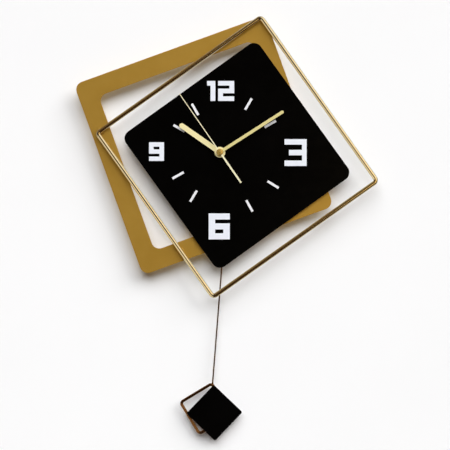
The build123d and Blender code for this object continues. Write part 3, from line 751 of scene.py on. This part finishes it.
def make_hanger():
    """The bent strip, with round bends and eased edges."""
    work = copy_of("hanger_bracket")
    low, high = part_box("hanger_bracket")
    sheet = 1.2 * mm
    inside = 0.6 * mm
    outside = inside + sheet
    top = max(v.co.z for v in work.verts if v.co.y < low.y + 0.01 * mm)
    bends = ((low.y, top, outside), (low.y + sheet, top - sheet, inside),
             (high.y, top - sheet, outside), (-sheet, top, inside))
    for depth, height, radius in bends:
        edges = [e for e in work.edges
                 if all(abs(v.co.y - depth) + abs(v.co.z - height) < 0.02 * mm for v in e.verts)]
        ease(work, edges, radius, segments=6)
    ease_sharp(work, 0.12 * mm, 50)
    add_piece("hanger_strip", work, "hanger_bracket")


def make_cell(node):
    """A plain AA cell: its sleeve is shrunk over both ends, round the steel minus plate and plus cap.

    The profiles are pairs of a radius in millimetres and a distance along the cell."""
    low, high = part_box(node)
    base = Vector((low.x, (low.y + high.y) / 2, (low.z + high.z) / 2))
    radius = (high.z - low.z) / 2
    length = high.x - low.x
    can = length - 1.3 * mm

    def turned(name, profile, slot=None):
        points = [(share * mm, distance) for share, distance in profile]
        add_piece(node + name, lathe(points, base, along_x), node, slot=slot)

    whole = radius / mm
    turned("_sleeve", [
        (0, 0.35 * mm), (whole - 2.1, 0.35 * mm), (whole - 2.0, 0), (whole - 0.6, 0),
        (whole - 0.15, 0.18 * mm), (whole, 0.6 * mm), (whole, can - 0.8 * mm),
        (whole - 0.15, can - 0.25 * mm), (whole - 0.6, can), (whole - 1.7, can),
        (whole - 1.8, can - 0.4 * mm), (0, can - 0.4 * mm)])
    turned("_minus", [
        (0, 0.4 * mm), (4.85, 0.4 * mm), (4.85, 0.22 * mm), (4.4, 0.12 * mm),
        (0, 0.1 * mm)], slot="zinc_steel")
    turned("_plus", [
        (0, can - 0.5 * mm), (5.15, can - 0.5 * mm), (5.15, can - 0.25 * mm), (3.7, can - 0.25 * mm),
        (2.95, can - 0.05 * mm), (2.75, can + 0.3 * mm), (2.75, length - 0.25 * mm),
        (2.5, length), (0, length)], slot="zinc_steel")
    turned("_band", [
        (whole - 0.2, can - 13 * mm), (whole + 0.03, can - 13 * mm), (whole + 0.03, can - 2 * mm),
        (whole - 0.2, can - 2 * mm)], slot="brass_fitting")


def make_contacts(node, cell):
    """Sheet plates at both ends of a cell, with a coiled spring on the minus one."""
    cell_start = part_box(cell)[0].x
    sheet = 0.4 * mm
    wire = 0.3 * mm
    coils = 2.5
    wide = 3.9 * mm
    narrow = 2.6 * mm
    steps = 60
    for points in islands(node):
        low, high = box_of(points)
        minus = low.x < cell_start
        if minus:
            high.x = low.x + sheet
        add_piece(node + ("_minus" if minus else "_plus"), block(low, high, 0.12 * mm), node)
        if not minus:
            continue
        start = (low + high) / 2
        start.x = high.x + wire
        gap = cell_start - high.x - 2 * wire
        path = []
        for step in range(steps + 1):
            share = step / steps
            turn = 2 * math.pi * coils * share
            reach = wide + (narrow - wide) * share
            path.append(start + Vector((gap * share, reach * math.cos(turn), reach * math.sin(turn))))
        add_piece(node + "_spring", tube(path, wire, sides=10), node)


# How deep a cover's panel is sunk, and how far the marks on it reach into it
panel_sink = 0.4 * mm
mark_root = 0.02 * mm


def make_cover(node):
    """A back cover with a sunk panel, and a rim left round its edge and its knob hole."""
    work = copy_of(node)
    back = [f for f in work.faces if all(v.co.y > -0.01 * mm for v in f.verts)]
    bmesh.ops.inset_region(work, faces=back, thickness=1.6 * mm, depth=-panel_sink, use_even_offset=True)
    ease_sharp(work, 0.08 * mm, 60)
    add_piece(node + "_moulded", work, node)


def make_mark(name, node, place, plus):
    """A raised plus or minus in the sunk panel of a cover, at a place (x, z)."""
    arm = 1.5 * mm
    half = 0.25 * mm
    x, z = place
    bars = [(arm, half)] + ([(half, arm)] if plus else [])
    for number, (wide, tall) in enumerate(bars):
        low = Vector((x - wide, -panel_sink - mark_root, z - tall))
        high = Vector((x + wide, -(0.10 + 0.02 * number) * mm, z + tall))
        add_piece(f"{name}_{number + 1}", block(low, high, 0.05 * mm), None, like=node)


def make_setting_arrow():
    """A raised arrow round the setting knob."""
    centre = middle("setting_knob")
    centre.y = -0.32 * mm
    reach = 8.2 * mm
    head_half = 1.1 * mm
    head_length = 1.9 * mm
    path = []
    for angle in range(110, 251, 5):
        turned = math.radians(angle)
        path.append(centre + reach * Vector((math.cos(turned), 0, math.sin(turned))))
    add_piece("setting_arc", tube(path, 0.22 * mm, sides=10), None, like="movement_cover")
    along = (path[-1] - path[-2]).normalized()
    across = Vector((-along.z, 0, along.x))
    corners = (path[-1] + across * head_half, path[-1] - across * head_half, path[-1] + along * head_length)
    work = bmesh.new()
    rings = []
    for depth in (-panel_sink - mark_root, -0.12 * mm):
        rings.append([work.verts.new(Vector((c.x, depth, c.z))) for c in corners])
    skin(work, *rings)
    work.faces.new(rings[0])
    work.faces.new(rings[1])
    add_piece("setting_head", work, None, like="movement_cover")


def make_windings():
    """Copper turns on the motor's bobbin, and in the flat coil of the pendulum drive.

    A turn is pairs of a share of the pitch and how many millimetres the wire's top is sunk there."""
    low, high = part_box("coil_winding")
    radius = (high.z - low.z) / 2
    core = 2.1 * mm
    pitch = 0.33 * mm
    length = high.x - low.x
    turns = int(length / pitch)
    pitch = length / turns
    wire_top = ((0.05, 0.1), (0.3, 0.02), (0.5, 0), (0.7, 0.02), (0.95, 0.1))
    profile = []
    for turn in range(turns):
        for share, sink in wire_top:
            profile.append((radius - sink * mm, (turn + share) * pitch))
    profile += [(core, length), (core, 0)]
    base = Vector((low.x, (low.y + high.y) / 2, (low.z + high.z) / 2))
    add_piece("motor_coil", lathe(profile, base, along_x, steps=32, closed=True), "coil_winding", sharp=60)

    low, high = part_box("drive_coil")
    radius = (high.x - low.x) / 2
    hole = 2.2 * mm
    pitch = 0.3 * mm
    thick = high.y - low.y
    turns = int((radius - hole) / pitch)
    pitch = (radius - hole) / turns
    wire_top = ((0.05, 0.09), (0.5, 0), (0.95, 0.09))
    ripples = []
    for turn in range(turns):
        for share, sink in wire_top:
            ripples.append((hole + (turn + share) * pitch, sink * mm))
    profile = ripples + [(reach, thick - sink) for reach, sink in reversed(ripples)]
    base = Vector(((low.x + high.x) / 2, high.y, (low.z + high.z) / 2))
    add_piece("flat_coil", lathe(profile, base, towards_viewer, closed=True), "drive_coil", sharp=60)


make_hanger()
make_cell("battery")
make_cell("drive_battery")
make_contacts("battery_contacts", "battery")
make_contacts("drive_contacts", "drive_battery")
# The marks stand next to the cell's bay, which is below the movement's cover and above the drive's.
mark_from_side = 4.5 * mm
mark_from_bay = 4.2 * mm
for name, cell in (("movement_cover", "battery"), ("drive_cover", "drive_battery")):
    make_cover(name)
    low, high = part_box(name)
    bay_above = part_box(cell)[0].z > high.z
    line = high.z - mark_from_bay if bay_above else low.z + mark_from_bay
    make_mark(name + "_plus", name, (high.x - mark_from_side, line), True)
    make_mark(name + "_minus", name, (low.x + mark_from_side, line), False)
make_setting_arrow()
make_windings()


# ---- Wall, lights and camera

def make_wall():
    """A white wall, seen from in front only, so that the clock's back can be looked at too.

    It stays out of the way of the light on the back, and metal mirrors it as an even grey."""
    half = 4.0
    gap = 0.3 * mm
    mirrored_grey = 0.6
    mesh = bpy.data.meshes.new("wall")
    corners = [(-half, gap, -half), (half, gap, -half), (half, gap, half), (-half, gap, half)]
    mesh.from_pydata(corners, [], [(0, 1, 2, 3)])
    wall = bpy.data.objects.new("wall", mesh)
    scene.collection.objects.link(wall)
    finish = Finish("wall_paint", specular_ior_level=0.1)
    finish.paint(srgb(251, 251, 252), srgb(253, 253, 254), 300 * mm)
    finish.roughen(0.7, 0.8, 20 * mm)
    finish.relief(0.02 * mm, 2 * mm)
    out = finish.tree.nodes["Material Output"]
    behind = finish.node("ShaderNodeNewGeometry").outputs["Backfacing"]
    clear = finish.node("ShaderNodeBsdfTransparent").outputs[0]
    mirrored = finish.node("ShaderNodeLightPath").outputs["Is Glossy Ray"]
    grey = finish.node("ShaderNodeEmission", inputs={"Strength": mirrored_grey}).outputs[0]
    front = finish.node("ShaderNodeMixShader", inputs={0: mirrored, 1: finish.shader.outputs[0], 2: grey})
    sides = finish.node("ShaderNodeMixShader", inputs={0: behind, 1: front.outputs[0], 2: clear})
    finish.tree.links.new(sides.outputs[0], out.inputs["Surface"])
    mesh.materials.append(finish.material)
    wall.visible_shadow = False
    wall.visible_diffuse = False


def soft_sun(name, direction, strength, colour, spread=30):
    """A large softbox far away, from the given direction, which lights but isn't mirrored."""
    lamp = bpy.data.lights.new(name, "SUN")
    lamp.energy = strength
    lamp.color = colour
    lamp.angle = math.radians(spread)
    holder = bpy.data.objects.new(name, lamp)
    holder.rotation_mode = "QUATERNION"
    holder.rotation_quaternion = Vector(direction).to_track_quat("Z", "Y")
    holder.visible_glossy = False
    scene.collection.objects.link(holder)


def make_world(ambient, warmth):
    """Faint warm light from all round on matt surfaces. The camera and reflections see a white room."""
    world = bpy.data.worlds.new("studio")
    world.use_nodes = True
    scene.world = world
    tree = world.node_tree
    path = tree.nodes.new("ShaderNodeLightPath")
    seen = path.outputs["Is Camera Ray"]
    for kind in ("Is Glossy Ray", "Is Transmission Ray"):
        both = tree.nodes.new("ShaderNodeMath")
        both.operation = "MAXIMUM"
        tree.links.new(seen, both.inputs[0])
        tree.links.new(path.outputs[kind], both.inputs[1])
        seen = both.outputs[0]
    strength = tree.nodes.new("ShaderNodeMapRange")
    strength.inputs["To Min"].default_value = ambient
    strength.inputs["To Max"].default_value = 1.0
    tree.links.new(seen, strength.inputs["Value"])
    background = tree.nodes["Background"]
    tint = tree.nodes.new("ShaderNodeMix")
    tint.data_type = "RGBA"
    tint.inputs[6].default_value = (*warmth, 1)
    tint.inputs[7].default_value = (1, 1, 1, 1)
    tree.links.new(seen, tint.inputs[0])
    tree.links.new(tint.outputs[2], background.inputs["Color"])
    tree.links.new(strength.outputs[0], background.inputs["Strength"])


def make_reflection_dome(radius, base, cards):
    """A dark half dome in front of the wall with pale cards on it, which only reflections see.

    A card is its direction, its half angle and the width of its soft edge in degrees, and its colour."""
    low, high = cad_box
    mesh = bmesh.new()
    bmesh.ops.create_uvsphere(mesh, u_segments=48, v_segments=24, radius=radius)
    behind = [v for v in mesh.verts if v.co.y > 0.02 * radius]
    bmesh.ops.delete(mesh, geom=behind, context="VERTS")
    data = bpy.data.meshes.new("reflection_dome")
    mesh.to_mesh(data)
    mesh.free()
    dome = bpy.data.objects.new("reflection_dome", data)
    dome.location = (low + high) / 2
    scene.collection.objects.link(dome)
    material = bpy.data.materials.new("dome_cards")
    material.use_nodes = True
    tree = material.node_tree
    tree.nodes.clear()
    place = tree.nodes.new("ShaderNodeTexCoord").outputs["Object"]
    way = tree.nodes.new("ShaderNodeVectorMath")
    way.operation = "NORMALIZE"
    tree.links.new(place, way.inputs[0])
    shade = None
    for direction, spread, edge, colour in cards:
        facing = tree.nodes.new("ShaderNodeVectorMath")
        facing.operation = "DOT_PRODUCT"
        facing.inputs[1].default_value = Vector(direction).normalized()
        tree.links.new(way.outputs[0], facing.inputs[0])
        share = tree.nodes.new("ShaderNodeMapRange")
        share.interpolation_type = "SMOOTHSTEP"
        share.inputs["From Min"].default_value = math.cos(math.radians(spread + edge))
        share.inputs["From Max"].default_value = math.cos(math.radians(spread))
        tree.links.new(facing.outputs["Value"], share.inputs["Value"])
        mix = tree.nodes.new("ShaderNodeMix")
        mix.data_type = "RGBA"
        tree.links.new(share.outputs[0], mix.inputs[0])
        mix.inputs[6].default_value = (*base, 1)
        if shade:
            tree.links.new(shade, mix.inputs[6])
        mix.inputs[7].default_value = (*colour, 1)
        shade = mix.outputs[2]
    glow = tree.nodes.new("ShaderNodeEmission")
    tree.links.new(shade, glow.inputs["Color"])
    out = tree.nodes.new("ShaderNodeOutputMaterial")
    tree.links.new(glow.outputs[0], out.inputs["Surface"])
    data.materials.append(material)
    dome.visible_camera = False
    dome.visible_diffuse = False
    dome.visible_shadow = False
    dome.visible_transmission = False


def make_camera(width_seen, lens, from_hands):
    """Looks straight at the wall, from a place beside and below the hands (x, z)."""
    camera = bpy.data.cameras.new("camera")
    camera.lens = lens
    distance = width_seen * lens / camera.sensor_width
    dial_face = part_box("dial_panel")[0].y
    holder = bpy.data.objects.new("camera", camera)
    holder.location = Vector((axis.x + from_hands[0], dial_face - distance, axis.z + from_hands[1]))
    holder.rotation_euler = (math.pi / 2, 0, 0)
    scene.collection.objects.link(holder)
    scene.camera = holder


make_camera(width_seen=0.6777, lens=120, from_hands=(0.0077, -0.1093))
make_wall()
make_world(ambient=0.09, warmth=(1.0, 0.85, 0.70))
make_reflection_dome(3.0, (0.034, 0.016, 0.006), [
    ((0.45, -0.89, 0.02), 10, 8, (1.60, 1.18, 0.60)),
    ((0.60, -0.55, 0.58), 24, 14, (0.97, 0.93, 0.86)),
    ((-0.62, -0.50, -0.60), 22, 14, (0.80, 0.76, 0.68)),
    ((-0.50, -0.60, 0.62), 16, 12, (0.20, 0.14, 0.07)),
])
soft_sun("top_softbox", (-0.02, -0.73, 0.68), 2.70, (0.965, 0.983, 1.0), spread=54)
soft_sun("right_softbox", (0.66, -0.48, 0.58), 2.0, (1.0, 0.99, 0.98), spread=36)
soft_sun("back_right", (0.5, 0.6, 0.6), 1.6, (1.0, 0.98, 0.95))
soft_sun("back_left", (-0.5, 0.6, 0.6), 1.4, (0.95, 0.98, 1.0))
scene.view_settings.view_transform = "Standard"
